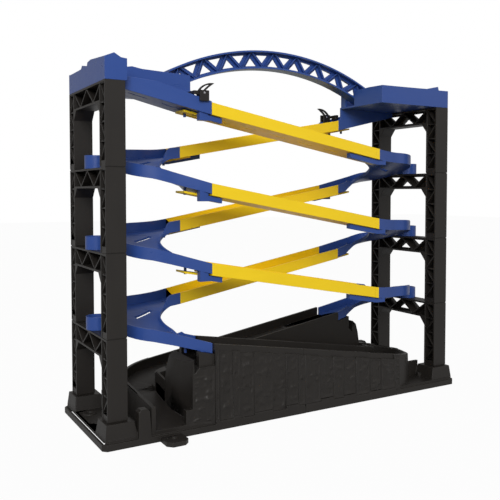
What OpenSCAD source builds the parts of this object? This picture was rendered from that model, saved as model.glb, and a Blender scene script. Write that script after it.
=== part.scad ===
// Multi-level toy race track: a hollow base in two halves, two towers of
// stacked portal frames, six U-turn pieces, six straights, two start decks
// joined by an arch truss, and a start lever on each deck lane.
// The whole track looks the same after half a turn about the upright axis,
// so each piece on the left is the right-hand piece turned round.

/* [Storeys] */
// Height of the top of the first storey above the table
first_level = 126; // [100:1:160]
// Rise from one storey to the next
storey_pitch = 100; // [85:1:130]
// Level of the foot of the lowest legs
foot_level = 28.5; // [20:0.5:40]

/* [Towers] */
// Distance from the middle of the track to the inner face of a tower
tower_inner = 246.5; // [220:0.5:300]
// Width of a tower along the track
tower_width = 24.5; // [18:0.5:32]
// Half the depth of a tower across the track
tower_half_depth = 74; // [66:0.5:90]
// Depth of one leg across the track
leg_depth = 21; // [16:0.5:28]
// Thickness of the flanges and webs of the frames
frame_wall = 2.5; // [1.5:0.1:4]
// Thickness of the stiffening ribs
rib_thickness = 2; // [1:0.1:3]
// Recess of the ribs behind the edges of the flanges
rib_recess = 1; // [0.2:0.1:3]
// Height of the trussed beam
beam_height = 24; // [16:0.5:34]
// Size of the corner braces under the beam
corner_brace = 12; // [4:0.5:20]
// Height of the solid foot of each leg
leg_foot_height = 8; // [7:0.5:14]
// Depth of the groove that shows at each storey joint
joint_groove = 0.6; // [0.2:0.1:1.5]
// Height of the groove that shows at each storey joint
joint_groove_height = 1; // [0.5:0.1:2]
// Side of the square plug on top of each leg
plug_side = 11.6; // [6:0.1:14]
// Height of the square plug on top of each leg
plug_height = 6; // [3:0.5:6.5]
// Gap around the plug in its pocket
plug_gap = 0.2; // [0.05:0.05:0.5]
// Radius of the round peg on each beam
peg_radius = 11.8; // [8:0.1:12.5]
// Height of the round peg on each beam
peg_height = 12; // [6:0.5:15]

/* [U-turns] */
// Length of a turn piece from its joints to the inner face of the tower
turn_length = 111.5; // [100:0.5:130]
// Overhang of the outer wall past the side of the towers at the joint
track_overhang = 0.5; // [0:0.1:3]
// Distance of the inner wall from the long axis
track_inner = 22; // [16:0.5:30]
// Thickness of the track walls and floors
track_wall = 2.5; // [1.5:0.1:4]
// Height of the track walls outside
wall_height = 15.2; // [10:0.1:22]
// Height of the turn wall at its exit
exit_wall_height = 13.1; // [9:0.1:20]
// Pull-in of the outer wall from the joint to the bend
bend_pull_in = 14.5; // [8:0.5:20]
// Rise of the outer side of the bend
bend_crown = 7.5; // [0:0.5:10]
// Gap between the bend and the tower
bend_tower_gap = 3.5; // [1:0.5:8]
// Length of the straight inner edge before the bend
inner_lead = 15; // [5:0.5:25]
// Height of the entry wall top above the storey
entry_rise = 33; // [25:0.5:40]
// Depth of the exit wall top below the storey
exit_drop = 17.8; // [10:0.1:25]
// Slope of the gentle part of the turn
gentle_slope = 0.14; // [0.08:0.01:0.2]
// Share of the turn that has the gentle slope
gentle_share = 0.75; // [0.5:0.05:0.9]
// Height of the thin rim along the inner edge of the bend
inner_rim_height = 3; // [1:0.1:6]
// Outer radius of the tubular socket
tube_radius = 14; // [12:0.1:16]
// Bore radius of the tubular socket
tube_bore = 12; // [9:0.1:13]
// Height of the tubular socket
tube_height = 16.5; // [10:0.5:22]
// Half the width of the neck between bend and socket
neck_half_width = 9; // [4:0.5:12]
// Length of the slot in the turn floor
turn_slot_length = 30; // [10:1:40]
// Width of the slot in the turn floor
turn_slot_width = 5; // [2:0.5:8]
// Turn of the slot from the long axis in degrees
turn_slot_angle = 27; // [0:1:60]
// Distance of the slot beyond the centre of the bend
turn_slot_reach = 7; // [0:1:20]
// Distance of the slot from the long axis
turn_slot_y = 20; // [10:1:35]
// Radius of the latch pins under the track ends
latch_pin_radius = 1.8; // [1:0.1:3]
// Distance of a latch pin from the joint at an exit
latch_pin_offset = 25; // [18:1:27]
// Distance of a latch pin from the joint at an entry
entry_pin_offset = 13; // [9:1:15]
// Drop of a latch pin below the outer bottom edge of its piece
latch_pin_drop = 8; // [5:0.5:12]
// Length of the tongue under the neighbouring straight
tongue_length = 16; // [6:0.5:20]
// Length of the tongue under the straight at an entry
entry_tongue_length = 50; // [30:1:60]
// Thickness of the tongue
tongue_thickness = 6.5; // [1.5:0.1:9]
// Width of the tongue
tongue_width = 8.5; // [5:0.5:10]
// Gap between the tongue and the straight above it
tongue_gap = 0.8; // [0.6:0.1:1.5]
// Distance of the tongue inside the outer wall
tongue_inset = 3.5; // [3:0.5:6]
// Distance from the joint to the root of the tongue
tongue_root = 3; // [2:0.5:6]

/* [Straights] */
// Number of slots along each straight
slot_count = 6; // [2:1:8]
// Length of one slot in a straight
slot_length = 24; // [10:1:30]
// Width of one slot in a straight
slot_width = 3; // [1:0.5:6]
// Length of the thicker end band of a straight
end_band_length = 6.5; // [3:0.5:12]
// Step of the end band outside the wall
end_band_step = 0.5; // [0.2:0.1:1]
// Reach of the latch plate under an exit
latch_reach = 32; // [30:1:50]
// Reach of the latch plate under an entry
entry_reach = 20; // [18:1:24]
// Length of the latch plate under its own straight
latch_root = 22; // [10:1:40]
// Width of the latch plate
latch_width = 26; // [16:1:34]
// Thickness of the latch plate
latch_thickness = 2.5; // [1.5:0.1:4]
// Length of the windows in the latch plate
latch_window_length = 28; // [10:1:34]
// Width of the windows in the latch plate
latch_window_width = 5; // [2:0.5:8]
// Gap around a latch pin in its hole
latch_hole_gap = 0.4; // [0.1:0.1:1]

/* [Decks] */
// Distance from the joint to the inner face of a deck
deck_setback = 4.5; // [3:0.5:8]
// Thickness of the deck floor and parapets
deck_wall = 2.5; // [1.5:0.1:4]
// Common height of the parapet
parapet_height = 25; // [18:0.5:35]
// Extra height of the rocky peaks
peak_height = 6; // [2:0.5:12]
// Overhang of the tower cap towards the middle
cap_overhang = 2.5; // [1:0.5:6]
// Pull-in of the outer wall of the lane at the tower
deck_lane_pull_in = 14.5; // [8:0.5:20]
// Height of the lane wall top at the tower above the deck
deck_lane_rise = 8; // [2:0.5:14]
// Height of the lane wall at the tower
deck_lane_wall = 15.4; // [8:0.1:20]
// Distance from the tower cap to the place where the lane gets steeper
deck_lane_head = 40; // [25:1:60]
// Height of the lane wall top where it gets steeper
deck_break_rise = 4; // [-4:0.5:10]
// Drop of the lane wall top at the joint below the deck
deck_lane_drop = 16.5; // [10:0.1:25]
// Height of the lane wall at the joint
deck_lane_end_wall = 16.5; // [12:0.1:22]
// Distance from the joint to the nearer slot in the lane floor
lane_slot_near = 43; // [39:1:50]
// Distance from the tower cap to the farther slot in the lane floor
lane_slot_far = 22; // [15:1:28]
// Side of the block round each plug pocket in the deck
pocket_block = 17; // [15:0.5:20]
// Height of the block round each plug pocket
pocket_block_height = 9; // [8:0.5:14]

/* [Arch] */
// Height of the top of the arch above the deck level
arch_rise = 69.5; // [50:0.5:90]
// Radius of the outer flange
arch_radius = 356; // [300:1:420]
// Depth of the truss between the faces of its flanges
arch_depth = 25; // [18:0.5:36]
// Width of the flanges
arch_width = 20; // [12:0.5:28]
// Thickness of the flanges and the web
arch_wall = 2.5; // [1.5:0.1:4]
// Width of the ribs across both faces of the web
arch_rib_span = 12; // [5:0.5:18]
// Angle between two nodes of the truss in degrees
arch_bay_angle = 6.2; // [5:0.1:8]
// Share of each bay that is cut through
arch_hole_share = 0.5; // [0.3:0.05:0.7]
// Reach of the arch into the deck past its inner face
arch_foot_length = 24.5; // [10:0.5:40]
// Gap beside the arch in the notch of the deck wall
arch_notch_gap = 0.5; // [0.2:0.1:2]

/* [Start levers] */
// Distance of the lever pivot from the joint
lever_setback = 11; // [7:0.5:20]
// Distance of the lever blade inside the outer face of the track
lever_inset = 2.7; // [2:0.1:4]
// Thickness of the bracket between the lane wall and the lever
saddle_thickness = 0.625; // [0.5:0.125:3]
// Radius of the lever pin
lever_pin_radius = 1.6; // [1:0.1:2.5]
// Running gap round the lever pin
lever_pin_gap = 0.05; // [0.01:0.01:0.1]
// Thickness of the lever blade
lever_blade = 4; // [2:0.1:4.2]
// Gap beside the lever blade
lever_side_gap = 0.5; // [0.1:0.1:1]
// Radius of the lever hub
lever_hub_radius = 3.5; // [2.5:0.1:5]
// Thickness of each cheek of the bracket
cheek_thickness = 2.8; // [1.5:0.1:4]
// Width of the bracket along the track
bracket_width = 12.5; // [9:0.5:18]
// Height of the bracket
bracket_height = 13; // [9:0.5:18]
// Height of the bracket top above the pivot
bracket_ear = 3; // [2:0.5:5]
// Radius of the upper edge of the arm
arm_upper_radius = 22; // [18:0.5:28]
// Radius of the lower edge of the arm
arm_lower_radius = 63; // [45:1:90]
// Distance of the centre of the upper edge from the pivot along the track
arm_upper_along = 12; // [8:0.5:16]
// Depth of the centre of the upper edge below the pivot
arm_upper_below = 9; // [6:0.5:12]
// Distance of the centre of the lower edge from the pivot along the track
arm_lower_along = 48; // [30:1:70]
// Depth of the centre of the lower edge below the pivot
arm_lower_below = 41; // [25:1:60]
// Width of the edge left round the slot of the arm
arm_edge = 1.9; // [1:0.1:3]
// Length of the catch on the other side of the pivot
catch_length = 13; // [8:0.5:18]
// Thickness of the catch
catch_thickness = 3.5; // [2:0.1:5]
// Reach of the catch finger over the lane
finger_reach = 18; // [8:1:30]
// Length of the catch finger along the track
finger_length = 4; // [2:0.5:6]
// Drop of the catch finger into the lane
finger_drop = 5; // [1:0.5:8]

/* [Base plate] */
// Margin of the base past the outer face of a tower
base_end_margin = 9; // [6:0.5:20]
// Margin of the base past the rim of the rock wall
base_side_margin = 5; // [4:0.5:12]
// Height of the base plate
plate_height = 11.2; // [8:0.1:18]
// Width of the bevelled step round the plate
plate_step = 3; // [1:0.5:6]
// Height of the bevelled step round the plate
plate_step_height = 3.2; // [1:0.1:6]
// Thickness of the shell of the base
base_wall = 3; // [2:0.1:5]
// Cut across the corners of the plate
plate_corner = 5; // [1:0.5:12]
// Width of the groove on each side of the seam
seam_groove = 0.6; // [0.2:0.1:1.5]
// Depth of the groove at the seam
seam_depth = 1; // [0.3:0.1:2]

/* [Base lanes] */
// Fall of the base lane along its straight part
lane_fall = 48.4; // [36:0.2:56]
// Height of the rim above the lane floor
lane_wall_height = 13; // [8:0.5:18]
// Thickness of the rock wall at its rim
rock_wall = 4; // [3:0.5:8]
// Margin of the base lane past the outer face of the track
lane_outer_margin = 1.5; // [1:0.1:4]
// Step of the base lane inside the inner face of the track
lane_inner_step = 1; // [0.5:0.1:3]
// Radius of the outer side of the bend in the base lane
base_bend_radius = 54; // [48:0.5:64]
// Distance from a tower to the outer side of the exit channel
exit_tower_gap = 32.5; // [24:0.5:45]
// Width of the exit channel
exit_width = 36; // [33:0.5:42]
// Radius of the inner lane wall in the base bend
base_bend_inner = 16; // [8:1:24]
// Drop of the lane floor through the base bend
base_bend_drop = 14.8; // [5:0.1:25]
// Height of the lane floor at the exit edge
exit_floor = 12.4; // [11.4:0.1:20]
// Thickness of the outer wall of the exit channel
exit_wall = 6; // [3:0.5:10]
// Height of the outer exit wall above the floor where the bend ends
exit_wall_start = 17.4; // [10:0.2:26]
// Height of the outer exit wall above the floor at its edge
exit_wall_end = 29.2; // [20:0.2:40]
// Height of the short post at the inner side of the exit
exit_inner_post = 31; // [24:0.5:40]
// Widening of the exit channel at its edge
exit_flare = 12; // [4:0.5:14]
// Length of the post at the end of the outer exit wall
post_length = 17; // [10:1:20]
// Depth of the post at the end of the outer exit wall
post_depth = 11; // [5:0.5:20]
// Height of the post
post_height = 42; // [30:0.5:46]
// Corner cut of the post
post_corner = 3; // [1:0.5:5]
// Largest relief of the rock facets
rock_relief = 3; // [1:0.1:5]
// Height of the plinth at the foot of the rock
rock_foot = 13; // [12:0.5:20]
// Depth of the smooth band under the rim of the rock
rim_band = 7; // [3:0.5:12]

/* [Piers and sockets] */
// Reach of the pier under the start of the base lane
pier_reach = 5; // [2:0.5:10]
// Depth of the top of the pier below the start of the base lane
pier_drop = 26.7; // [20:0.1:40]
// Gap between the cradle of the pier and the turn
cradle_gap = 0.3; // [0.1:0.1:1]
// Width of each cheek of the cradle
cradle_width = 7; // [4:0.5:12]
// Cut across the top corner of the pier
pier_corner = 8; // [2:0.5:14]
// Lean of the side of the pier over the exit channel
pier_lean = 14; // [6:0.5:14]
// Depth of the top of the side of the pier below the start of the lane
pier_side_drop = 16.2; // [12:0.1:30]
// Length of the short post beside the pier, along the exit
step_length = 8; // [4:0.5:14]
// Gap around the tongue of the lowest turn in its pocket
tongue_pocket_gap = 0.5; // [0.2:0.1:1.5]
// Thickness of the webs between the bends and the sockets
web_thickness = 3; // [2:0.5:5]
// Height of the webs between the bends and the sockets
web_height = 34; // [29:0.5:40]
// Distance of the webs from the near side of the leg sockets
web_setback = 4; // [1:0.5:9]
// Wall of a leg socket on the inner side of the leg
socket_inner_wall = 6.5; // [5:0.5:9]
// Wall of a leg socket on the outer side of the leg
socket_outer_wall = 5; // [4:0.5:5.5]
// Wall of a leg socket on the near side of the leg
socket_near_wall = 6; // [4:0.5:9]
// Wall of a leg socket on the far side of the leg
socket_far_wall = 5; // [3:0.5:8]
// Widening of a leg socket at its foot
socket_taper = 4; // [1:0.5:4]
// Width of the connector tab
tab_width = 28; // [16:1:36]
// Reach of the connector tab past the edge of the base
tab_reach = 25; // [12:1:35]
// Thickness of the connector tab
tab_thickness = 5.5; // [3:0.5:8]
// Cut across the corners of the connector tab
tab_corner = 6; // [2:0.5:10]
// Radius of the boss on the connector tab
tab_boss_radius = 4; // [2:0.5:6]
// Height of the boss on the connector tab
tab_boss_height = 2; // [1:0.5:4]
// Radius of the hole in the connector tab
tab_hole_radius = 2; // [1:0.1:3]
// Radius of the round peg on the plate
plate_peg_radius = 3.5; // [2:0.5:5]
// Height of the round peg on the plate
plate_peg_height = 6; // [3:0.5:10]
// Outer radius of the ring boss on the plate
ring_radius = 8; // [5:0.5:10]
// Bore radius of the ring boss on the plate
ring_bore = 5; // [2:0.5:7]
// Height of the ring boss on the plate
ring_height = 1.5; // [1:0.1:3]

/* [Joining screws] */
// Width of the joining strap under the seam
strap_width = 16; // [12:0.5:18]
// Distance of the joining strap from the long axis
strap_offset = 10.5; // [9.5:0.5:12]
// Reach of the joining strap past the seam
strap_reach = 20; // [14:1:30]
// Thickness of the joining strap
strap_thickness = 3; // [2:0.1:4]
// Gap round the joining strap
strap_gap = 0.3; // [0.1:0.1:1]
// Radius of the screw shank
screw_radius = 1.5; // [1:0.1:2.5]
// Length of the screw shank
screw_length = 7; // [4:0.5:8]
// Radius of the screw head
screw_head_radius = 3; // [2:0.1:4.5]
// Height of the screw head
screw_head_height = 1.6; // [1:0.1:2.2]
// Gap round the screw head
screw_gap = 0.3; // [0.1:0.1:0.6]
// Outer radius of the screw boss
screw_boss_radius = 5; // [3.5:0.5:8]

/* [Hidden] */
blue = [0.22, 0.33, 0.58];
yellow = [0.95, 0.78, 0.13];
black = [0.15, 0.13, 0.12];
overlap = 1;
clear_cut = 40;
tower_outer = tower_inner + tower_width;
tower_middle = tower_inner + tower_width / 2;
leg_inner = tower_half_depth - leg_depth;
leg_middle = tower_half_depth - leg_depth / 2;
joint_half = tower_inner - turn_length;
track_outer = tower_half_depth + track_overhang;
bend_outer_radius = track_outer - bend_pull_in;
bend_centre = tower_inner - bend_tower_gap - bend_outer_radius;
inner_centre = joint_half + inner_lead;
leg_run = norm([bend_centre - joint_half, track_outer - bend_outer_radius]);
bend_run = PI * bend_outer_radius;
turn_run = 2 * leg_run + bend_run;
gentle_run = gentle_share * turn_run;
steep_slope = (entry_rise + exit_drop - gentle_slope * gentle_run) / (turn_run - gentle_run);
lead_share = inner_lead / (bend_centre - joint_half);
lead_run = lead_share * leg_run;
crown_run = bend_run + inner_lead;
leg_steps = 4;
bend_steps = 24;
turn_steps = 2 * leg_steps + bend_steps;
straight_drop = storey_pitch - exit_drop - entry_rise;
straight_slope = straight_drop / (2 * joint_half);
track_middle = (track_outer + track_inner) / 2;
deck_level = first_level + 3 * storey_pitch;
deck_inner = joint_half + deck_setback;
deck_lane_start = track_outer - deck_lane_pull_in;
cap_inner = tower_inner - cap_overhang;
deck_lane_break = cap_inner - deck_lane_head;
arch_foot_reach = deck_inner + arch_foot_length;
lever_x = joint_half + lever_setback;
lever_y = track_outer - lever_inset;
lane_outer = track_outer + lane_outer_margin;
rock_rim = lane_outer + rock_wall;
lane_inner = track_inner + lane_inner_step;
base_half_length = tower_outer + base_end_margin;
base_half_depth = rock_rim + base_side_margin;
exit_outer = tower_inner - exit_tower_gap;
exit_inner = exit_outer - exit_width;
exit_mouth_inner = exit_inner - exit_flare;
base_bend_start = exit_outer - base_bend_radius;
socket_inner = tower_inner - socket_inner_wall;
socket_outer = tower_outer + socket_outer_wall;
socket_near = leg_inner - socket_near_wall;
socket_far = tower_half_depth + socket_far_wall;
web_y = socket_near - web_setback;
deck_steep = (deck_break_rise + deck_lane_drop) / (deck_lane_break - joint_half);
arch_centre = deck_level + arch_rise - arch_radius;
arch_inner_radius = arch_radius - arch_depth;
lane_start = first_level - exit_drop;
lane_slope = lane_fall / (base_bend_start + joint_half);
bend_floor = lane_start - lane_wall_height - lane_fall;
exit_start = -lane_inner / 4;
pier_face_height = lane_start - pier_drop;
pier_side_height = lane_start - pier_side_drop;
exit_rim_start = bend_floor - base_bend_drop + exit_wall_start;
exit_rim_end = exit_floor + exit_wall_end;
exit_slope = (bend_floor - base_bend_drop - exit_floor) / (base_half_depth - exit_start);
lane_steps = 10;
far_reach = base_half_length + clear_cut;

// Level of the top of storey k
function level(k) = first_level + (k - 1) * storey_pitch;

// Half a turn about the upright axis
module turned() {
    rotate([0, 0, 180]) children();
}

// Outline drawn as (along, height), swept across the track
module across(from, to) {
    translate([0, to, 0])
        rotate([90, 0, 0])
            linear_extrude(to - from) children();
}

// Outline drawn as (across, height), swept along the track
module along(from, to) {
    translate([from, 0, 0])
        rotate([90, 0, 90])
            linear_extrude(to - from) children();
}

// Block from one corner to the opposite one
module block(low, high) {
    translate(low) cube(high - low);
}

// Flat bar between two points
module bar(a, b, width) {
    side = (width / 2) * [a[1] - b[1], b[0] - a[0]] / norm(b - a);
    polygon([a + side, a - side, b - side, b + side]);
}

// Triangle drawn smaller about its own middle
module small_triangle(points, share) {
    middle = (points[0] + points[1] + points[2]) / 3;
    polygon([for (p = points) middle + share * (p - middle)]);
}

// Zigzag ribs of one leg, with a level rib at each crossing
module leg_ribs(low, high) {
    side = leg_middle - leg_depth / 2 + frame_wall / 2;
    far = leg_middle + leg_depth / 2 - frame_wall / 2;
    cells = 4;
    step = (high - low) / cells;
    for (i = [0:cells - 1]) {
        near = i % 2 == 0 ? side : far;
        other = i % 2 == 0 ? far : side;
        bar([near, low + i * step], [other, low + (i + 1) * step], rib_thickness);
        bar([side, low + (i + 1) * step], [far, low + (i + 1) * step], rib_thickness);
    }
}

// One leg on the rear side
module leg(low, high) {
    inset = joint_groove;
    foot_top = low + leg_foot_height;
    difference() {
        union() {
            block([tower_inner + inset, leg_inner + inset, low],
                  [tower_outer - inset, tower_half_depth - inset, foot_top]);
            block([tower_inner, leg_inner, low + joint_groove_height],
                  [tower_outer, leg_inner + frame_wall, high]);
            block([tower_inner, tower_half_depth - frame_wall, low + joint_groove_height],
                  [tower_outer, tower_half_depth, high]);
            block([tower_inner, leg_inner, high - frame_wall],
                  [tower_outer, tower_half_depth, high]);
            block([tower_middle - frame_wall / 2, leg_inner, low + joint_groove_height],
                  [tower_middle + frame_wall / 2, tower_half_depth, high]);
            along(tower_inner + rib_recess, tower_outer - rib_recess)
                leg_ribs(foot_top, high - frame_wall);
        }
        pocket = plug_side / 2 + plug_gap;
        block([tower_middle - pocket, leg_middle - pocket, low - overlap],
              [tower_middle + pocket, leg_middle + pocket, low + plug_height + plug_gap]);
    }
    plug(high);
}

// Square plug that the next foot drops over
module plug(base) {
    half = plug_side / 2;
    block([tower_middle - half, leg_middle - half, base - overlap],
          [tower_middle + half, leg_middle + half, base + plug_height]);
}

// Diagonals of the beam, two letters V side by side
module beam_diagonals(low, high) {
    quarter = leg_inner / 2;
    for (side = [-1, 1]) {
        bar([side * leg_inner, high], [side * quarter, low], rib_thickness);
        bar([side * quarter, low], [0, high], rib_thickness);
    }
}

// Beam between the legs, with three triangles cut through its web
module beam(top) {
    low = top - beam_height;
    quarter = leg_inner / 2;
    web_low = low + frame_wall;
    web_high = top - frame_wall;
    block([tower_inner, -leg_inner - overlap, web_high], [tower_outer, leg_inner + overlap, top]);
    block([tower_inner, -leg_inner - overlap, low], [tower_outer, leg_inner + overlap, web_low]);
    along(tower_inner + rib_recess, tower_outer - rib_recess)
        beam_diagonals(web_low, web_high);
    along(tower_middle - frame_wall / 2, tower_middle + frame_wall / 2)
        difference() {
            translate([-leg_inner - overlap, low]) square([2 * (leg_inner + overlap), beam_height]);
            for (side = [-1, 1])
                small_triangle([[0, web_high], [side * leg_inner, web_high],
                                [side * quarter, web_low]], 0.6);
            small_triangle([[-quarter, web_low], [quarter, web_low], [0, web_high]], 0.6);
        }
    for (side = [-1, 1])
        along(tower_inner, tower_outer)
            polygon([[side * (leg_inner + overlap), web_low],
                     [side * (leg_inner - corner_brace), web_low],
                     [side * leg_inner, low - corner_brace],
                     [side * (leg_inner + overlap), low - corner_brace]]);
}

// Portal frame of storey k on the right-hand tower
module storey(k) {
    low = k == 1 ? foot_level : level(k - 1);
    top = level(k);
    leg(low, top);
    mirror([0, 1, 0]) leg(low, top);
    beam(top);
    if (k < 4)
        translate([tower_middle, 0, top - overlap])
            cylinder(r = peg_radius, h = peg_height + overlap);
}

// Run along the outer wall at station i of a turn
function leg_mark(i) = i == 0 ? 0 : lead_share + (1 - lead_share) * (i - 1) / (leg_steps - 1);
function bend_angle(i) = -90 + 180 * (i - leg_steps) / bend_steps;
function turn_mark(i) =
    i <= leg_steps ? leg_mark(i) * leg_run :
    i <= leg_steps + bend_steps ? leg_run + bend_run * (i - leg_steps) / bend_steps :
    turn_run - leg_mark(turn_steps - i) * leg_run;

// Place of the outer face at station i
function leg_place(mark) =
    [joint_half + mark * (bend_centre - joint_half),
     -track_outer + mark * (track_outer - bend_outer_radius)];
function outer_place(i) =
    i <= leg_steps ? leg_place(leg_mark(i)) :
    i <= leg_steps + bend_steps ?
        [bend_centre + bend_outer_radius * cos(bend_angle(i)), bend_outer_radius * sin(bend_angle(i))] :
    [leg_place(leg_mark(turn_steps - i))[0], -leg_place(leg_mark(turn_steps - i))[1]];

// Place of the inner face at station i
function inner_angle(run) = -90 + 180 * (run - lead_run) / (turn_run - 2 * lead_run);
function inner_place(i) =
    turn_mark(i) < lead_run ? [outer_place(i)[0], -track_inner] :
    turn_mark(i) > turn_run - lead_run ? [outer_place(i)[0], track_inner] :
    [inner_centre + track_inner * cos(inner_angle(turn_mark(i))),
     track_inner * sin(inner_angle(turn_mark(i)))];

// Heights of a turn against its storey
function wall_top(run) =
    entry_rise - gentle_slope * min(run, gentle_run) - steep_slope * max(0, run - gentle_run);
function wall_bottom(run) =
    wall_top(run) - wall_height
    + (wall_height - exit_wall_height) * max(0, run - gentle_run) / (turn_run - gentle_run);
function rim_share(run) = min(1, 2 * max(0, 1 - run / leg_run, 1 - (turn_run - run) / leg_run));
function inner_rim(run) =
    wall_bottom(run) + track_wall + inner_rim_height
    + rim_share(run) * (wall_top(run) - wall_bottom(run) - track_wall - inner_rim_height);

function crown(run) = run < crown_run ? bend_crown * (1 - cos(360 * run / crown_run)) / 2 : 0;

// Eight corners of the channel at station i
function turn_section(i) =
    let (run = turn_mark(i), outer = outer_place(i), inner = inner_place(i),
         inward = track_wall * (inner - outer) / norm(inner - outer),
         low = wall_bottom(run), rim = inner_rim(run),
         outer_low = low + crown(run), high = wall_top(run) + crown(run))
    [[outer[0], outer[1], outer_low],
     [outer[0], outer[1], high],
     [outer[0] + inward[0], outer[1] + inward[1], high],
     [outer[0] + inward[0], outer[1] + inward[1], outer_low + track_wall],
     [inner[0] - inward[0], inner[1] - inward[1], low + track_wall],
     [inner[0] - inward[0], inner[1] - inward[1], rim],
     [inner[0], inner[1], rim],
     [inner[0], inner[1], low]];

// Solid swept through a row of sections with the same number of corners
module swept(sections, corners) {
    steps = len(sections) - 1;
    points = [for (s = sections) for (p = s) p];
    sides = [
        for (i = [0:steps - 1]) for (j = [0:corners - 1]) each [
            [i * corners + j, i * corners + (j + 1) % corners, (i + 1) * corners + j],
            [i * corners + (j + 1) % corners, (i + 1) * corners + (j + 1) % corners,
             (i + 1) * corners + j]
        ]
    ];
    first = [for (j = [corners - 1:-1:0]) j];
    last = [for (j = [0:corners - 1]) steps * corners + j];
    polyhedron(points = points, faces = concat([first], sides, [last]), convexity = 6);
}

// Line of the underside of a straight, carried on past its ends
function straight_bottom(x) = -straight_slope * (x + joint_half) - exit_drop - wall_height;

// Outline of a tongue that runs on under the straight, from its root in a floor
module tongue_outline(length, joint_level, slope, root_level, end_level) {
    end = joint_half - length;
    root = joint_half + tongue_root;
    tip_level = joint_level + slope * length;
    polygon([[end, tip_level],
             [end, tip_level - tongue_thickness],
             [joint_half, joint_level - tongue_thickness],
             [inner_centre, joint_level - tongue_thickness],
             [inner_centre, end_level],
             [root, root_level],
             [root, joint_level],
             [joint_half, joint_level]]);
}

// Tongue at an entry joint, under the end of the straight above it
module entry_tongue() {
    root_run = leg_run * tongue_root / (bend_centre - joint_half);
    near = -track_outer + tongue_inset;
    across(near, near + tongue_width)
        tongue_outline(entry_tongue_length, entry_rise - wall_height - tongue_gap, straight_slope,
                       wall_bottom(root_run) + track_wall / 2,
                       wall_bottom(lead_run) + track_wall / 2);
}

// Tongue at an exit joint, under the start of the straight
module exit_tongue(root_level, end_level) {
    far = track_outer - tongue_inset;
    across(far - tongue_width, far)
        tongue_outline(tongue_length, -exit_drop - wall_height - tongue_gap, -straight_slope,
                       root_level + track_wall / 2, end_level + track_wall / 2);
}

// Pin under a track end, through the latch plate of the straight
module latch_pin(side, offset, bottom) {
    translate([joint_half + offset, side * track_middle, bottom - latch_pin_drop])
        cylinder(r = latch_pin_radius, h = latch_pin_drop + track_wall);
}

// U-turn of storey k on the right-hand side, entry in front, exit behind
module turn(k) {
    pin_run = leg_run * latch_pin_offset / (bend_centre - joint_half);
    entry_pin_run = leg_run * entry_pin_offset / (bend_centre - joint_half);
    translate([0, 0, level(k)]) {
        difference() {
            union() {
                swept([for (i = [0:turn_steps]) turn_section(i)], 8);
                block([tower_inner - bend_tower_gap - track_wall, -neck_half_width, 0],
                      [tower_middle, neck_half_width, tube_height / 2]);
            }
            translate([(bend_centre + turn_slot_reach), -turn_slot_y, 0])
                rotate([0, 0, turn_slot_angle])
                    cube([turn_slot_length, turn_slot_width, 2 * clear_cut], center = true);
            translate([tower_middle, 0, -overlap])
                cylinder(r = tube_bore, h = tube_height + 2 * overlap);
        }
        translate([tower_middle, 0, 0])
            difference() {
                cylinder(r = tube_radius, h = tube_height);
                translate([0, 0, -overlap]) cylinder(r = tube_bore, h = tube_height + 2 * overlap);
            }
        latch_pin(-1, entry_pin_offset, wall_bottom(entry_pin_run));
        latch_pin(1, latch_pin_offset, wall_bottom(turn_run - pin_run));
        entry_tongue();
        exit_tongue(wall_bottom(turn_run - leg_run * tongue_root / (bend_centre - joint_half)),
                    wall_bottom(turn_run - lead_run));
    }
}

// Outline of a wall or floor of a straight, between two offsets above its underside
module straight_band(low, high, from, to) {
    polygon([[from, straight_bottom(from) + low],
             [to, straight_bottom(to) + low],
             [to, straight_bottom(to) + high],
             [from, straight_bottom(from) + high]]);
}

// Latch plate at one end, with two windows and a pin hole
module latch_plate(from, to, pin_x) {
    window = (from + to) / 2;
    difference() {
        across(-track_middle - latch_width / 2, -track_middle + latch_width / 2)
            union() {
                straight_band(-latch_thickness, 0, from, to);
                straight_band(-latch_thickness, track_wall / 2,
                              max(from, -joint_half), min(to, joint_half));
            }
        for (side = [-1, 1])
            translate([window, -track_middle + side * latch_width / 4, straight_bottom(window)])
                cube([latch_window_length, latch_window_width, clear_cut], center = true);
        translate([pin_x, -track_middle, straight_bottom(window) - clear_cut / 2])
            cylinder(r = latch_pin_radius + latch_hole_gap, h = clear_cut);
    }
}

// Straight in front, from the left at storey k + 1 down to the right at storey k
module straight(k) {
    pitch = 2 * joint_half / slot_count;
    translate([0, 0, level(k + 1)]) {
        difference() {
            union() {
                across(-track_outer, -track_outer + track_wall)
                    straight_band(0, wall_height, -joint_half, joint_half);
                across(-track_inner - track_wall, -track_inner)
                    straight_band(0, wall_height, -joint_half, joint_half);
                across(-track_outer, -track_inner)
                    straight_band(0, track_wall, -joint_half, joint_half);
                across(-track_outer - end_band_step, -track_outer + track_wall) {
                    straight_band(0, wall_height, -joint_half, -joint_half + end_band_length);
                    straight_band(0, wall_height, joint_half - end_band_length, joint_half);
                }
            }
            for (i = [0:slot_count - 1])
                translate([-joint_half + (i + 0.5) * pitch, -track_middle, straight_bottom(0)])
                    cube([slot_length, slot_width, 3 * clear_cut], center = true);
        }
        difference() {
            latch_plate(-joint_half - latch_reach, -joint_half + latch_root,
                        -joint_half - latch_pin_offset);
            translate([-joint_half + 0.5 * pitch, -track_middle, straight_bottom(-joint_half)])
                cube([slot_length, slot_width, 3 * clear_cut], center = true);
        }
        difference() {
            latch_plate(joint_half - latch_root, joint_half + entry_reach,
                        joint_half + entry_pin_offset);
            translate([joint_half - 0.5 * pitch, -track_middle, straight_bottom(joint_half)])
                cube([slot_length, slot_width, 3 * clear_cut], center = true);
        }
    }
}

// Crest of a parapet drawn from pairs of a place share and a peak share
module crest(from, to, marks) {
    run = to - from;
    polygon(concat([[from, 0]],
                   [for (m = marks) [from + m[0] * run, parapet_height + m[1] * peak_height]],
                   [[to, 0]]));
}

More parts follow.
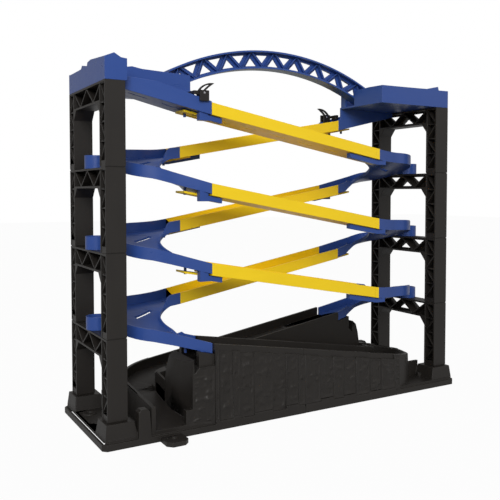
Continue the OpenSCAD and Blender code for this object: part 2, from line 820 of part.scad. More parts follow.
// Heights of the deck lane against the deck
function deck_lane_top(x) =
    x >= deck_lane_break ?
        deck_break_rise + (deck_lane_rise - deck_break_rise) * (x - deck_lane_break) / (cap_inner - deck_lane_break) :
    deck_break_rise - deck_steep * (deck_lane_break - x);
function deck_lane_bottom(x) =
    deck_lane_rise - deck_lane_wall
    - (cap_inner - x) * (deck_lane_rise - deck_lane_wall + deck_lane_drop + deck_lane_end_wall) / (cap_inner - joint_half);

// Plan of the deck lane, narrower at the tower
module lane_plan(inset) {
    polygon([[joint_half, track_inner],
             [cap_inner + overlap, track_inner],
             [cap_inner + overlap, deck_lane_start - inset],
             [joint_half, track_outer - inset]]);
}

// Height of a deck band between the two lane lines
module deck_band(low_share, low_offset, high_share, high_offset) {
    marks = [joint_half, deck_lane_break, cap_inner + overlap];
    function line(x, share) = deck_lane_bottom(x) + share * (deck_lane_top(x) - deck_lane_bottom(x));
    polygon(concat([for (x = marks) [x, line(x, low_share) + low_offset]],
                   [for (i = [2:-1:0]) [marks[i], line(marks[i], high_share) + high_offset]]));
}

// Lane from the tower cap down to the joint
module deck_lane() {
    intersection() {
        across(track_inner, track_outer) deck_band(0, 0, 0, track_wall);
        translate([0, 0, -clear_cut]) linear_extrude(2 * clear_cut) lane_plan(0);
    }
    intersection() {
        across(track_inner, track_outer) deck_band(0, 0, 1, 0);
        translate([0, 0, -clear_cut])
            linear_extrude(2 * clear_cut)
                difference() {
                    lane_plan(0);
                    lane_plan(track_wall);
                }
    }
    across(track_inner, track_inner + track_wall) {
        deck_band(0, 0, 1, 0);
        polygon([[deck_inner, deck_wall],
                 [deck_inner, deck_lane_bottom(deck_inner) + track_wall],
                 [deck_lane_break, deck_lane_bottom(deck_lane_break) + track_wall],
                 [cap_inner, deck_lane_bottom(cap_inner) + track_wall],
                 [cap_inner, deck_wall]]);
    }
}

// Start deck on the right-hand tower, with its lane behind
module deck() {
    wall = deck_wall;
    half = tower_half_depth;
    translate([0, 0, deck_level]) {
        difference() {
            union() {
                block([deck_inner, -half, 0], [tower_outer, track_inner, wall]);
                block([cap_inner, -half, 0], [tower_outer, half, wall]);
                across(-half, -half + wall)
                    crest(deck_inner, tower_outer,
                          [[0, 0], [0.4, 0.06], [0.66, 0.13], [0.84, 0.95], [0.85, 0.05], [1, 0.08]]);
                across(half - wall, half)
                    crest(cap_inner, tower_outer, [[0, 0.08], [0.27, 0.2], [0.57, 1], [1, 0.18]]);
                along(tower_outer - wall, tower_outer)
                    crest(-half, half,
                          [[0, 0], [0.18, 0], [0.37, 0.02], [0.4, 0.62], [0.537, 0.02],
                           [0.555, 0.72], [0.64, 0.93], [0.875, 0.45], [1, 0.17]]);
                along(cap_inner, cap_inner + wall)
                    crest(track_inner - wall, half, [[0, 0], [0.45, 0.1], [0.6, 0.4], [1, 0.08]]);
                across(track_inner - wall, track_inner)
                    crest(deck_inner, cap_inner + wall,
                          [[0, -0.45], [0.35, -0.18], [0.62, 0], [0.74, 0.35], [0.86, 0], [1, 0]]);
                along(deck_inner, deck_inner + wall)
                    crest(-half, track_inner,
                          [[0, 0], [0.3, 0.1], [0.5, 0.02], [0.8, -0.2], [1, -0.45]]);
                for (side = [-1, 1])
                    translate([tower_middle, side * leg_middle, pocket_block_height / 2])
                        cube([pocket_block, pocket_block, pocket_block_height], center = true);
                deck_lane();
                latch_pin(1, latch_pin_offset, deck_lane_bottom(joint_half + latch_pin_offset));
                exit_tongue(deck_lane_bottom(joint_half + tongue_root), deck_lane_bottom(inner_centre));
            }
            for (x = [joint_half + lane_slot_near, cap_inner - lane_slot_far])
                translate([x, track_middle, deck_lane_bottom(x)])
                    cube([slot_length, slot_width, 2 * parapet_height], center = true);
            notch = arch_width / 2 + arch_notch_gap;
            block([deck_inner - overlap, -notch, wall],
                  [deck_inner + wall + overlap, notch, parapet_height + peak_height]);
            pocket = plug_side / 2 + plug_gap;
            for (side = [-1, 1])
                translate([tower_middle, side * leg_middle, -overlap])
                    translate([-pocket, -pocket, 0])
                        cube([2 * pocket, 2 * pocket, plug_height + plug_gap + overlap]);
        }
    }
}

// Point of the arch at an angle from the upright
function arch_point(radius, angle) = [radius * sin(angle), arch_centre + radius * cos(angle)];

// Ring between two radii about the arch centre
module arch_ring(inner, outer) {
    translate([0, arch_centre])
        difference() {
            circle(r = outer);
            circle(r = inner);
        }
}

// Room between the decks that the arch fills
module arch_room() {
    polygon([[-arch_foot_reach, deck_level + deck_wall],
             [arch_foot_reach, deck_level + deck_wall],
             [arch_foot_reach, deck_level + arch_rise + overlap],
             [-arch_foot_reach, deck_level + arch_rise + overlap]]);
}

// Arch truss from deck to deck
module arch() {
    low = arch_inner_radius + arch_wall / 2;
    high = arch_radius - arch_wall / 2;
    bays = 3;
    across(-arch_width / 2, arch_width / 2)
        intersection() {
            arch_room();
            union() {
                arch_ring(arch_radius - arch_wall, arch_radius);
                arch_ring(arch_inner_radius, arch_inner_radius + arch_wall);
            }
        }
    across(-arch_wall / 2, arch_wall / 2)
        intersection() {
            arch_room();
            difference() {
                arch_ring(arch_inner_radius + arch_wall / 2, arch_radius - arch_wall / 2);
                for (i = [-bays - 1:bays + 1])
                    small_triangle([arch_point(low, (i - 0.5) * arch_bay_angle),
                                    arch_point(low, (i + 0.5) * arch_bay_angle),
                                    arch_point(high, i * arch_bay_angle)], arch_hole_share);
                for (i = [-bays - 1:bays])
                    small_triangle([arch_point(high, i * arch_bay_angle),
                                    arch_point(high, (i + 1) * arch_bay_angle),
                                    arch_point(low, (i + 0.5) * arch_bay_angle)], arch_hole_share);
            }
        }
    across(-arch_rib_span / 2, arch_rib_span / 2)
        intersection() {
            arch_room();
            for (i = [-bays - 1:bays + 1]) {
                bar(arch_point(low, (i - 0.5) * arch_bay_angle), arch_point(high, i * arch_bay_angle), rib_thickness);
                bar(arch_point(high, i * arch_bay_angle), arch_point(low, (i + 0.5) * arch_bay_angle), rib_thickness);
            }
        }
}

// Places of the lever mechanism on the right-hand deck lane
saddle_low = deck_level + deck_lane_top(lever_x + bracket_width / 2);
pivot_level = saddle_low + saddle_thickness + lever_hub_radius + lever_side_gap / 2;
slot_half = lever_blade / 2 + lever_side_gap;
cheek_far = slot_half + cheek_thickness;

// Bracket that straddles the lane wall
module lever_bracket() {
    top = pivot_level + bracket_ear;
    difference() {
        union() {
            for (side = [-1, 1])
                translate([lever_x - bracket_width / 2,
                           lever_y + (side < 0 ? -cheek_far : slot_half),
                           top - bracket_height])
                    cube([bracket_width, cheek_thickness, bracket_height]);
            block([lever_x - bracket_width / 2, lever_y - cheek_far, saddle_low],
                  [lever_x + bracket_width / 2, lever_y + cheek_far,
                   pivot_level - lever_hub_radius - lever_side_gap / 2]);
        }
        translate([lever_x, lever_y + cheek_far + overlap, pivot_level])
            rotate([90, 0, 0])
                cylinder(r = lever_pin_radius + lever_pin_gap, h = 2 * (cheek_far + overlap));
    }
}

// Curved arm drawn about the pivot, leaning to the middle of the track
module arm_leaf(edge) {
    difference() {
        translate([-arm_upper_along, -arm_upper_below]) circle(r = arm_upper_radius - edge);
        translate([-arm_lower_along, -arm_lower_below]) circle(r = arm_lower_radius + edge);
        translate([-2 * arm_upper_radius, -2 * arm_upper_radius + edge])
            square([4 * arm_upper_radius, 2 * arm_upper_radius]);
    }
}

// Lever that tips about the pin, arm up and catch over the lane
module lever() {
    translate([lever_x, 0, pivot_level])
        difference() {
            union() {
                across(lever_y - lever_blade / 2, lever_y + lever_blade / 2) {
                    difference() {
                        arm_leaf(0);
                        arm_leaf(arm_edge);
                    }
                    circle(r = lever_hub_radius);
                    polygon([[0, -lever_hub_radius + arm_edge / 2],
                             [catch_length / 2, -lever_hub_radius + arm_edge / 2],
                             [catch_length, -catch_thickness / 3],
                             [catch_length, catch_thickness * 2 / 3],
                             [0, catch_thickness * 2 / 3]]);
                }
                block([catch_length - finger_length, lever_y - finger_reach, -catch_thickness / 3],
                      [catch_length, lever_y, catch_thickness * 2 / 3]);
                block([catch_length - finger_length, lever_y - finger_reach, -finger_drop],
                      [catch_length, lever_y - slot_half - track_wall, catch_thickness * 2 / 3]);
            }
            translate([0, lever_y + cheek_far + overlap, 0])
                rotate([90, 0, 0])
                    cylinder(r = lever_pin_radius + lever_pin_gap, h = 2 * (cheek_far + overlap));
        }
}

// Pin of the lever through both cheeks
module lever_pin() {
    translate([lever_x, lever_y + cheek_far, pivot_level])
        rotate([90, 0, 0])
            cylinder(r = lever_pin_radius, h = 2 * cheek_far);
}

// Rim and floor of the base lane along its straight part
function lane_rim(x) = lane_start - lane_slope * (x + joint_half);
function lane_floor(x) = lane_rim(x) - lane_wall_height;

// Level of the floor along the exit channel
function exit_level(y) = bend_floor - base_bend_drop - exit_slope * (y - exit_start);

// Outline under the rim of the front rock wall, sunk by a given depth
module rim_outline(sink) {
    outer = exit_outer + exit_wall;
    last = 0.87 * exit_outer;
    polygon([[-joint_half, 0],
             [-joint_half, lane_rim(-joint_half) - sink],
             [last, lane_rim(last) - sink],
             [outer - exit_wall / 2, exit_rim_start - sink],
             [outer + overlap, exit_rim_start - sink],
             [outer + overlap, 0]]);
}

// Facets of the front wall: edges, foot and top leans, and depths of their tops
rock_edge_shares = [0, 0.02, 0.085, 0.12, 0.19, 0.285, 0.355, 0.42, 0.545, 0.62, 0.68, 0.755, 0.84, 0.91, 1];
rock_foot_shares = [0.5, 0.8, 0.4, 0.9, 0.55, 1, 0.6, 0.35, 0.8, 0.5, 0.9, 0.6, 0.85, 0.4];
rock_rim_shares = [0.7, 0.3, 0.6, 0.35, 0.75, 0.3, 0.6, 0.7, 0.35, 0.7, 0.3, 0.65, 0.35, 0.6];
rock_sink_shares = [1, 1.15, 0.95, 1.25, 1, 1.2, 1, 1.1, 1.3, 1.05, 1.25, 1, 1.15, 1];
rock_foot_rises = [1, 0.9, 1.1, 0.8, 1.05, 0.85, 1.15, 0.95, 1.2, 0.9, 1.1, 0.85, 1, 0.9];

// Rock facets of the front wall on their plinth, each with its own lean
module rock_face() {
    run = base_bend_start + joint_half;
    for (i = [0:len(rock_foot_shares) - 1]) {
        from = -joint_half + rock_edge_shares[i] * run;
        to = -joint_half + rock_edge_shares[i + 1] * run;
        foot = base_half_depth - rock_foot_shares[i] * rock_relief * 0.6;
        top = rock_rim + rock_rim_shares[i] * rock_relief;
        intersection() {
            along(from, to)
                polygon([[-lane_outer, 0], [-foot, 0], [-top, lane_start], [-lane_outer, lane_start]]);
            across(-base_half_depth, -lane_outer) rim_outline(rock_sink_shares[i] * rim_band);
        }
        along(from, to)
            polygon([[-lane_outer, 0],
                     [-base_half_depth, 0],
                     [-base_half_depth, (rock_foot_rises[i] - 0.1) * rock_foot],
                     [-foot, rock_foot_rises[i] * rock_foot],
                     [-lane_outer, rock_foot_rises[i] * rock_foot]]);
    }
}

// Wall of the exit channel beside the pier, leaning back from the lane
module pier_side() {
    across(lane_inner - base_wall, base_half_depth - plate_step)
        polygon([[exit_inner - pier_lean - overlap, 0],
                 [exit_inner, 0],
                 [exit_inner - 0.07 * pier_lean, 0.6 * pier_side_height],
                 [exit_inner - 0.28 * pier_lean, 0.8 * pier_side_height],
                 [exit_inner - 0.55 * pier_lean, 0.94 * pier_side_height],
                 [exit_inner - pier_lean, pier_side_height],
                 [exit_inner - pier_lean - overlap, pier_side_height]]);
}

// Solid mass of the front lane, its bend and its exit channel
module lane_mass() {
    bend_outer = exit_outer - base_bend_start;
    bend_y = -lane_outer + bend_outer;
    far = base_half_depth - plate_step;
    rock_face();
    intersection() {
        union() {
            block([-joint_half, -rock_rim, 0], [base_bend_start, -lane_inner + base_wall, lane_start]);
            translate([base_bend_start, bend_y, 0])
                intersection() {
                    cylinder(r1 = bend_outer + exit_wall + rock_relief / 2,
                             r2 = bend_outer + rock_rim - lane_outer, h = lane_start);
                    block([-overlap, -2 * bend_outer, 0], [2 * bend_outer, overlap, lane_start]);
                }
            block([base_bend_start - overlap, -lane_inner - overlap, 0],
                  [exit_inner - overlap, exit_start, lane_start]);
        }
        across(-base_half_depth, exit_start) rim_outline(0);
    }
    along(exit_inner - pier_lean, exit_outer + overlap)
        polygon([[bend_y - overlap, 0],
                 [bend_y - overlap, exit_level(exit_start) + overlap],
                 [exit_start, exit_level(exit_start) + overlap],
                 [far, exit_level(far) + overlap],
                 [far, 0]]);
    along(exit_outer - overlap, exit_outer + exit_wall)
        polygon([[bend_y, 0],
                 [bend_y, exit_rim_start],
                 [far, exit_rim_end],
                 [far, 0]]);
    along(exit_inner - base_wall, exit_inner + overlap)
        polygon([[exit_start - overlap, 0],
                 [exit_start - overlap, lane_rim(base_bend_start)],
                 [lane_inner, 0.6 * pier_side_height],
                 [lane_inner, 0]]);
    pier_side();
    block([exit_outer, -web_y - web_thickness, 0], [socket_inner, -web_y, web_height]);
}

// Pocket in the end wall of the lane for the tongue of the lowest turn
module tongue_pocket() {
    gap = tongue_pocket_gap;
    high = lane_start - wall_height - tongue_gap;
    end_wall = 2 * base_wall + 2 * overlap;
    along(-joint_half - overlap, -joint_half + end_wall)
        translate([-track_outer + tongue_inset - gap, high - tongue_thickness - straight_slope * end_wall - gap])
            square([tongue_width + 2 * gap, tongue_thickness + straight_slope * end_wall + 2 * gap]);
}

// Corners of the bend channel at a share of its angle
function bend_section(share) =
    let (angle = -90 + 90 * share,
         wide = exit_outer - base_bend_start,
         outer = [base_bend_start + wide * cos(angle), -lane_outer + wide + wide * sin(angle)],
         inner = [exit_inner - base_bend_inner + base_bend_inner * cos(angle),
                  -lane_inner + base_bend_inner + base_bend_inner * sin(angle)],
         floor_here = bend_floor - base_bend_drop * share)
    [[outer[0], outer[1], floor_here],
     [outer[0], outer[1], lane_start + clear_cut],
     [inner[0], inner[1], lane_start + clear_cut],
     [inner[0], inner[1], floor_here]];

// Corners of the channel at a place along its straight part or along its exit
function lane_section(x) =
    [[x, -lane_outer, lane_floor(x)],
     [x, -lane_outer, lane_start + clear_cut],
     [x, -lane_inner, lane_start + clear_cut],
     [x, -lane_inner, lane_floor(x)]];
function exit_section(y, inner) =
    [[exit_outer, y, exit_level(y)],
     [exit_outer, y, lane_start + clear_cut],
     [inner, y, lane_start + clear_cut],
     [inner, y, exit_level(y)]];

// Space that the cars run through in the front lane
module lane_space() {
    far = base_half_depth - plate_step;
    swept(concat([lane_section(-joint_half - overlap)],
                 [for (i = [0:lane_steps]) bend_section(i / lane_steps)],
                 [exit_section(exit_start, exit_inner),
                  exit_section(far / 2, exit_inner),
                  exit_section(far - step_length, exit_mouth_inner),
                  exit_section(base_half_depth + overlap, exit_mouth_inner)]), 4);
}

// Hollow under the front lane
module lane_hollow() {
    inside = lane_outer + overlap;
    low_exit = exit_level(exit_start) - base_wall;
    far = base_half_depth - 2 * base_wall;
    across(-inside, -lane_inner)
        polygon([[-joint_half + 2 * base_wall + overlap, -overlap],
                 [-joint_half + 2 * base_wall + overlap, lane_floor(-joint_half) - base_wall - overlap],
                 [base_bend_start, bend_floor - base_wall],
                 [base_bend_start, -overlap]]);
    block([base_bend_start - overlap, -lane_outer + base_bend_inner, -overlap],
          [exit_inner + base_bend_inner, -lane_inner, low_exit]);
    along(exit_inner, exit_outer)
        polygon([[-lane_inner - base_wall, -overlap],
                 [-lane_inner - base_wall, low_exit],
                 [exit_start, low_exit],
                 [far, exit_level(far) - base_wall],
                 [far, -overlap]]);
}

// Bottom line of the exit leg of the lowest turn, seen at its outer wall
cradle_slope = (wall_bottom(turn_run - lead_run) - wall_bottom(turn_run)) / inner_lead;
function cradle_top(x) = first_level + wall_bottom(turn_run) + cradle_slope * (-x - joint_half) - cradle_gap;

// Pier under the exit of the lowest left-hand turn
module pier() {
    left = -exit_inner + pier_lean;
    right = -joint_half + pier_reach;
    difference() {
        union() {
            across(-base_half_depth + base_wall, -lane_inner + base_wall)
                polygon([[left, 0],
                         [left, pier_face_height - pier_corner],
                         [left + pier_corner, pier_face_height],
                         [right, pier_face_height],
                         [right, 0]]);
            for (side = [-rock_rim + overlap, -lane_inner + base_wall - cradle_width])
                across(side, side + cradle_width)
                    polygon([[left + pier_corner, pier_face_height - overlap],
                             [left + pier_corner, cradle_top(left + pier_corner)],
                             [-joint_half, cradle_top(-joint_half)],
                             [-joint_half, pier_face_height - overlap]]);
        }
        block([left + base_wall, -lane_outer - overlap, -overlap],
              [right + overlap, -lane_inner, pier_face_height - pier_corner - base_wall]);
    }
}

// Tapered socket block for one leg
module leg_socket() {
    along(socket_inner - socket_taper, socket_outer)
        polygon([[socket_near - socket_taper, 0],
                 [socket_near - socket_taper, plate_height],
                 [socket_near, foot_level],
                 [socket_far, foot_level],
                 [socket_far + socket_taper / 2, plate_height],
                 [socket_far + socket_taper / 2, 0]]);
}

// Both sockets of the right-hand tower, leaning in at the sides
module leg_sockets() {
    for (side = [0, 1])
        mirror([0, side, 0])
            intersection() {
                leg_socket();
                across(0, base_half_depth)
                    polygon([[socket_inner - socket_taper, 0],
                             [socket_inner - socket_taper, plate_height],
                             [socket_inner, foot_level],
                             [socket_outer - socket_taper / 2, foot_level],
                             [socket_outer, plate_height],
                             [socket_outer, 0]]);
            }
}

// Plan of the plate with its corners cut
module plate_plan(inset) {
    x = base_half_length - inset;
    y = base_half_depth - inset;
    c = plate_corner;
    polygon([[-x + c, -y], [x - c, -y], [x, -y + c], [x, y - c],
             [x - c, y], [-x + c, y], [-x, y - c], [-x, -y + c]]);
}

// Connector tab at the rear exit, flush with the table
module connector_tab() {
    middle = (exit_outer + exit_inner) / 2;
    edge = base_half_depth;
    linear_extrude(tab_thickness)
        polygon([[middle - tab_width / 2, edge - 2 * base_wall],
                 [middle + tab_width / 2, edge - 2 * base_wall],
                 [middle + tab_width / 2, edge + tab_reach - tab_corner],
                 [middle + tab_width / 2 - tab_corner, edge + tab_reach],
                 [middle - tab_width / 2 + tab_corner, edge + tab_reach],
                 [middle - tab_width / 2, edge + tab_reach - tab_corner]]);
    translate([middle, edge + tab_reach / 3, 0])
        cylinder(r = tab_boss_radius, h = tab_thickness + tab_boss_height);
}

// Everything of the base that one lane brings with it
module lane_side() {
    lane_mass();
    pier();
    near = exit_outer + exit_wall;
    across(base_half_depth - post_depth, base_half_depth)
        polygon([[near, 0],
                 [near + post_corner, post_height - post_corner],
                 [near + 2 * post_corner, post_height],
                 [near + post_length - post_corner, post_height],
                 [near + post_length, post_height - post_corner],
                 [near + post_length, 0]]);
    connector_tab();
}

// Places of the joining screw in front
screw_x = strap_reach / 2;
screw_y = -strap_offset;

// Left half of the base, open below
module base_half() {
    seam_half = strap_width / 2;
    screw_top = screw_head_height + screw_length;
    boss_low = strap_thickness + strap_gap;
    difference() {
        union() {
            linear_extrude(plate_height - plate_step_height) plate_plan(0);
            linear_extrude(plate_height) plate_plan(plate_step);
            lane_side();
            turned() lane_side();
            turned() leg_sockets();
        }
        block([0, -2 * base_half_depth, -overlap],
              [far_reach, 2 * base_half_depth, 2 * lane_start]);
        block([-base_half_length + base_wall, -base_half_depth + 2 * base_wall, -overlap],
              [-base_wall, base_half_depth - 2 * base_wall, plate_height - base_wall]);
        lane_space();
        turned() lane_space();
        tongue_pocket();
        intersection() {
            union() {
                lane_hollow();
                turned() lane_hollow();
            }
            block([-far_reach, -base_half_depth, -2 * overlap], [-base_wall, base_half_depth, lane_start]);
        }
        translate([-(exit_outer + exit_inner) / 2 - 2 * tab_boss_radius,
                   -base_half_depth - tab_reach / 3, -overlap])
            cylinder(r = tab_hole_radius, h = tab_thickness + 2 * overlap);
        block([-seam_groove, -2 * base_half_depth, plate_height - seam_depth],
              [overlap, -base_half_depth + plate_step + seam_depth, plate_height + overlap]);
        block([-strap_reach - strap_gap, -screw_y - seam_half - strap_gap, -overlap],
              [overlap, -screw_y + seam_half + strap_gap, boss_low]);
        translate([-screw_x, -screw_y, 0])
            cylinder(r = screw_radius, h = screw_top + screw_gap);
    }
    translate([-screw_x, -screw_y, boss_low])
        difference() {
            cylinder(r = screw_boss_radius, h = plate_height - boss_low);
            translate([0, 0, -overlap])
                cylinder(r = screw_radius, h = screw_top + screw_gap - boss_low + overlap);
        }
    translate([-tower_middle - plate_peg_radius, tower_half_depth / 3, plate_height - overlap])
        difference() {
            cylinder(r = ring_radius, h = ring_height + overlap);
            translate([0, 0, overlap / 2]) cylinder(r = ring_bore, h = ring_height + overlap);
        }
    translate([-socket_inner + socket_taper, leg_inner, plate_height - overlap])
        cylinder(r = plate_peg_radius, h = plate_peg_height + overlap);
    block([-exit_inner + base_wall, -base_half_depth + plate_step, plate_height - overlap],
          [-exit_mouth_inner + overlap, -base_half_depth + plate_step + step_length, exit_inner_post]);
    difference() {
        block([-strap_reach, screw_y - seam_half, 0], [strap_reach, screw_y + seam_half, strap_thickness]);
        translate([screw_x, screw_y, -overlap])
            cylinder(r = screw_radius + screw_gap, h = strap_thickness + 2 * overlap);
        translate([screw_x, screw_y, -overlap])
            cylinder(r = screw_head_radius + screw_gap, h = screw_head_height + overlap);
    }
    for (side = [-1, 1])
        turned() mirror([0, side < 0 ? 1 : 0, 0]) plug(foot_level);
}

// Screws that join the halves from below, one in front and one behind
module screw() {
    translate([screw_x, screw_y, 0]) {
        cylinder(r = screw_head_radius, h = screw_head_height);
        cylinder(r = screw_radius, h = screw_head_height + screw_length);
    }
}

module base_left() {
    color(black) base_half();
}

module base_right() {
    color(black) turned() base_half();
}

module base_screws() {
    color([0.6, 0.6, 0.62]) {
        screw();
        turned() screw();
    }
}

module tower_right(k) {
    color(black) storey(k);
}

module tower_left(k) {
    color(black) turned() storey(k);
}

module turn_right(k) {
    color(blue) turn(k);
}

module turn_left(k) {
    color(blue) turned() turn(k);
}

module straight_front(k) {
    color(yellow) straight(k);
}

module straight_rear(k) {
    color(yellow) turned() straight(k);
}

module deck_right() {
    color(blue) deck();
}

module deck_left() {
    color(blue) turned() deck();
}

module arch_truss() {
    color(blue) arch();
}

base_left();
base_right();
base_screws();
tower_left(1);  // tower_left_1
tower_left(2);  // tower_left_2
tower_left(3);  // tower_left_3
tower_left(4);  // tower_left_4
tower_right(1);  // tower_right_1
tower_right(2);  // tower_right_2
tower_right(3);  // tower_right_3
tower_right(4);  // tower_right_4
turn_left(1);  // turn_left_1
turn_left(2);  // turn_left_2
turn_left(3);  // turn_left_3
turn_right(1);  // turn_right_1
turn_right(2);  // turn_right_2
turn_right(3);  // turn_right_3
straight_front(1);  // straight_front_1
straight_front(2);  // straight_front_2
straight_front(3);  // straight_front_3
straight_rear(1);  // straight_rear_1
straight_rear(2);  // straight_rear_2
straight_rear(3);  // straight_rear_3
deck_left();
deck_right();
arch_truss();  // arch
color(black) turned() lever_bracket();  // lever_bracket_left
color(black) lever_bracket();  // lever_bracket_right
color(black) turned() lever();  // lever_left
color(black) lever();  // lever_right
color(black) turned() lever_pin();  // lever_pin_left
color(black) lever_pin();  // lever_pin_right
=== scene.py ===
# Multi-level toy race track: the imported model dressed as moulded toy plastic.
import math

import bmesh
import bpy
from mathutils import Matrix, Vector


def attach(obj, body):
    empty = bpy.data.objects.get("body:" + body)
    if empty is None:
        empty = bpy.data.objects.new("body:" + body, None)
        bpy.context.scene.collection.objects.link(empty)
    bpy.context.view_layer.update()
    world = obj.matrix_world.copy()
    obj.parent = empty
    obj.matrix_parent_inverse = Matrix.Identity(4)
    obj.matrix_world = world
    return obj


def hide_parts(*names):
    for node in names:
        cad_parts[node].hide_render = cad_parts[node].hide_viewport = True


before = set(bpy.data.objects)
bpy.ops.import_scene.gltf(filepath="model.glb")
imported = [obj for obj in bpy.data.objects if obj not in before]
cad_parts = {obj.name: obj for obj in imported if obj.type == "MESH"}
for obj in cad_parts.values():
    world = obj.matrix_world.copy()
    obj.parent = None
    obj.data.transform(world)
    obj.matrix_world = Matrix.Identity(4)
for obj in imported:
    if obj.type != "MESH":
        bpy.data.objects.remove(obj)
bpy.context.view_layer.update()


class Field:
    """A shader socket that ordinary operators turn into Math nodes."""

    def __init__(self, tree, socket):
        self.tree = tree
        self.socket = socket

    def math(self, operation, first, second=None):
        node = self.tree.nodes.new("ShaderNodeMath")
        node.operation = operation
        for entry, value in zip(node.inputs, (first, second)):
            if isinstance(value, Field):
                self.tree.links.new(value.socket, entry)
            elif value is not None:
                entry.default_value = value
        return Field(self.tree, node.outputs[0])

    def __add__(self, other):
        return self.math("ADD", self, other)

    def __radd__(self, other):
        return self.math("ADD", other, self)

    def __rmul__(self, other):
        return self.math("MULTIPLY", other, self)


class Finish:
    """A node material under construction, on one glossy surface shader."""

    def __init__(self, name):
        self.material = bpy.data.materials.new(name)
        self.material.use_nodes = True
        self.tree = self.material.node_tree
        self.surface = self.tree.nodes["Principled BSDF"]
        self.place = self.node("ShaderNodeTexCoord", output="Object")

    def node(self, kind, settings=None, inputs=None, output=0):
        made = self.tree.nodes.new(kind)
        for key, value in (settings or {}).items():
            if key == "stops":
                for stop, (spot, colour) in zip(made.color_ramp.elements, value):
                    stop.position = spot
                    stop.color = colour
            else:
                setattr(made, key, value)
        for key, value in (inputs or {}).items():
            self.feed(made.inputs[key], value)
        return Field(self.tree, made.outputs[output])

    def feed(self, entry, value):
        if isinstance(value, Field):
            self.tree.links.new(value.socket, entry)
        else:
            entry.default_value = value

    def set(self, **values):
        for key, value in values.items():
            self.feed(self.surface.inputs[key.replace("_", " ")], value)

    def noise(self, size, detail=2.0, stretch=(1, 1, 1)):
        """Noise whose lumps are about size metres across, longer where stretch is large."""
        scaled = self.node("ShaderNodeMapping", {"vector_type": "POINT"},
                           {"Vector": self.place, "Scale": tuple(1 / s for s in stretch)})
        return self.node("ShaderNodeTexNoise", None,
                         {"Vector": scaled, "Scale": 1 / size, "Detail": detail})

    def tint(self, colour, low, high, share):
        """The colour between two strengths of itself."""
        pale = tuple(high * c for c in colour) + (1,)
        deep = tuple(low * c for c in colour) + (1,)
        return self.node("ShaderNodeMix", {"data_type": "RGBA"},
                         {"Factor": share, 6: deep, 7: pale}, output=2)

    def bump(self, height, depth, under=None):
        inputs = {"Height": height, "Distance": depth, "Strength": 1.0}
        if under is not None:
            inputs["Normal"] = under
        return self.node("ShaderNodeBump", None, inputs, output="Normal")


def black_plastic():
    """Charcoal polystyrene with the fine spark-eroded grain of the mould."""
    finish = Finish("black_plastic")
    charcoal = (0.0155, 0.0132, 0.0114)
    cloud = finish.noise(0.045, 3.0)
    streak = finish.noise(0.010, 2.0, stretch=(1, 1, 7))
    grain = finish.noise(0.0006, 2.0)
    finish.set(Base_Color=finish.tint(charcoal, 0.82, 1.2, 0.65 * cloud + 0.35 * streak),
               Roughness=0.36 + 0.12 * cloud + 0.10 * streak,
               Specular_IOR_Level=0.36)
    lumps = finish.bump(cloud, 0.0004)
    finish.set(Normal=finish.bump(grain, 0.00006, lumps))
    return finish.material


def polished_plastic(name, colour, gloss, wave):
    """Bright polystyrene from a polished mould, with faint flow marks and handling rubs."""
    finish = Finish(name)
    cloud = finish.noise(0.060, 2.0)
    flow = finish.noise(0.012, 2.0, stretch=(6, 1, 1))
    rub = finish.noise(0.0016, 3.0, stretch=(9, 1.6, 1))
    peel = finish.noise(0.0032, 1.0)
    worn = finish.node("ShaderNodeValToRGB",
                       {"stops": [(0.46, (0, 0, 0, 1)), (0.74, (1, 1, 1, 1))]}, {"Fac": rub})
    finish.set(Base_Color=finish.tint(colour, 0.92, 1.07, 0.6 * cloud + 0.4 * flow),
               Roughness=gloss + 0.10 * flow + 0.12 * worn,
               Specular_IOR_Level=0.36)
    waves = finish.bump(cloud, wave)
    finish.set(Normal=finish.bump(peel, 0.00003, waves))
    return finish.material


def rounded_copy(node, material, edge, crease=30.0):
    """The node's solid with its doubled vertices welded and its edges rounded, as a mesh of its
    own.
    """
    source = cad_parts[node]
    mesh = source.data.copy()
    mesh.materials.clear()
    mesh.materials.append(material)
    shell = bmesh.new()
    shell.from_mesh(mesh)
    bmesh.ops.remove_doubles(shell, verts=shell.verts, dist=2e-6)
    bmesh.ops.dissolve_degenerate(shell, edges=shell.edges, dist=2e-6)
    for face in shell.faces:
        face.smooth = True
        face.material_index = 0
    for line in shell.edges:
        line.smooth = len(line.link_faces) == 2 and line.calc_face_angle(0) < math.radians(crease)
    shell.to_mesh(mesh)
    shell.free()
    piece = bpy.data.objects.new(node + "_shell", mesh)
    bpy.context.scene.collection.objects.link(piece)
    rounding = piece.modifiers.new("rounded edges", "BEVEL")
    rounding.width = edge
    rounding.segments = 2
    rounding.limit_method = "ANGLE"
    rounding.angle_limit = math.radians(crease)
    rounding.use_clamp_overlap = False
    rounding.harden_normals = True
    rounding.miter_outer = "MITER_SHARP"
    return applied(piece)


def applied(piece):
    """The piece with its modifiers turned into plain mesh."""
    ready = piece.evaluated_get(bpy.context.evaluated_depsgraph_get())
    mesh = bpy.data.meshes.new_from_object(ready)
    piece.modifiers.clear()
    piece.data = mesh
    return piece


def fitted(piece, node, body):
    """Hands a finished piece to the frame in place of its node."""
    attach(piece, body)
    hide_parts(node)
    return piece


black = black_plastic()

# Radii of the rounded edges, in metres
base_edge = 0.0007
tower_edge = 0.00035
deck_edge = 0.0004
track_edge = 0.0003
pin_edge = 0.0002


def tree_with(name, sizes):
    """A new geometry tree with named size inputs, its first and last node."""
    tree = bpy.data.node_groups.new(name, "GeometryNodeTree")
    tree.interface.new_socket("Geometry", in_out="INPUT", socket_type="NodeSocketGeometry")
    tree.interface.new_socket("Geometry", in_out="OUTPUT", socket_type="NodeSocketGeometry")
    for label in sizes:
        tree.interface.new_socket(label, in_out="INPUT", socket_type="NodeSocketFloat")
    return tree, tree.nodes.new("NodeGroupInput"), tree.nodes.new("NodeGroupOutput")


